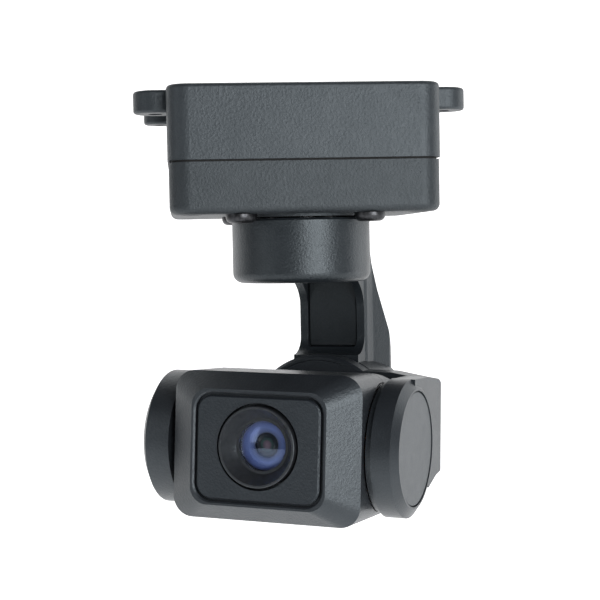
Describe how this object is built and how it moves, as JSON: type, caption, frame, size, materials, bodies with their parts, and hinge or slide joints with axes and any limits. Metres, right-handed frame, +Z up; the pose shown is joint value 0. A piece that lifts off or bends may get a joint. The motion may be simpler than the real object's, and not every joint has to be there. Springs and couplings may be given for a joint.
{
  "type": "camera gimbal",
  "caption": "Small stabilised camera gimbal: square base box with mounting ears, yaw motor cup, sloping arm, roll motor drum, one-sided bracket and a camera head with a bevelled nose.",
  "frame": {"origin": "where the yaw axis meets the flat top face of the base", "axes": "+Z up along the yaw axis and out of the top face, -Y towards the front of the base, +X to the right seen from the front"},
  "size_m": [0.0624, 0.0622, 0.0814],
  "materials": {
    "shell_black": "satin",
    "cover_black": "matte",
    "hood_black": "satin",
    "seal_rubber": "matte",
    "screw_black": "satin",
    "steel": "satin",
    "magnet_nickel": "polished",
    "copper": "polished",
    "board_green": "satin",
    "ribbon": "satin",
    "socket_ivory": "satin",
    "lens_glass": "polished",
    "sensor_dark": "polished",
    "heat_aluminium": "satin"
  },
  "bodies": {
    "base": {"base_upper_shell": "shell_black", "base_lower_shell": "shell_black", "base_seam_gasket": "seal_rubber", "base_shell_screws": "screw_black", "base_main_board": "board_green", "base_board_screws": "screw_black", "base_port_sockets": "socket_ivory", "yaw_motor_screws": "screw_black", "yaw_stator_mount": "shell_black", "yaw_stator_core": "steel", "yaw_stator_windings": "copper", "yaw_bearings": "steel", "yaw_encoder_board": "board_green"},
    "yaw_arm": {"yaw_arm": "shell_black", "arm_cable_cover": "cover_black", "arm_ribbon_cable": "ribbon", "yaw_magnets": "magnet_nickel", "yaw_shaft": "steel", "yaw_encoder_magnet": "magnet_nickel", "roll_stator_core": "steel", "roll_stator_windings": "copper", "roll_bearings": "steel", "roll_encoder_board": "board_green", "roll_rear_cap": "cover_black", "roll_rear_cap_screws": "screw_black"},
    "roll_bracket": {"roll_bracket": "shell_black", "roll_bracket_cover": "cover_black", "bracket_cover_screws": "screw_black", "bracket_ribbon_cable": "ribbon", "roll_rotor_ring": "steel", "roll_magnets": "magnet_nickel", "roll_shaft": "steel", "roll_encoder_magnet": "magnet_nickel", "pitch_stator_core": "steel", "pitch_stator_windings": "copper", "pitch_bearings": "steel", "pitch_encoder_board": "board_green", "pitch_end_cap": "cover_black"},
    "camera_head": {"camera_front_shell": "shell_black", "camera_rear_shell": "shell_black", "camera_shell_screws": "screw_black", "front_panel": "cover_black", "lens_hood": "hood_black", "lens_barrel": "hood_black", "lens_front_element": "lens_glass", "lens_iris": "hood_black", "lens_inner_elements": "lens_glass", "lens_mount": "cover_black", "infrared_filter": "lens_glass", "image_sensor": "sensor_dark", "sensor_board": "board_green", "processor_board": "board_green", "heat_spreader": "heat_aluminium", "left_end_cap": "shell_black", "left_end_cap_disc": "cover_black", "imu_board": "board_green", "pitch_rotor_cup": "steel", "pitch_magnets": "magnet_nickel", "pitch_shaft": "steel", "pitch_encoder_magnet": "magnet_nickel"}
  },
  "joints": [
    {"name": "yaw", "type": "hinge", "parent": "base", "child": "yaw_arm", "pos_m": [0, 0, -0.03], "axis": [0, 0, 1], "range_deg": [-109.5, 160.5]},
    {"name": "roll", "type": "hinge", "parent": "yaw_arm", "child": "roll_bracket", "pos_m": [-0.00293, -0.00614, -0.0662], "axis": [0.4305, 0.9026, 0], "range_deg": [-31.4, 28.6]},
    {"name": "pitch", "type": "hinge", "parent": "roll_bracket", "child": "camera_head", "pos_m": [-0.00293, -0.00614, -0.0662], "axis": [0.9023, -0.4304, -0.0244], "range_deg": [-27, 93]}
  ]
}
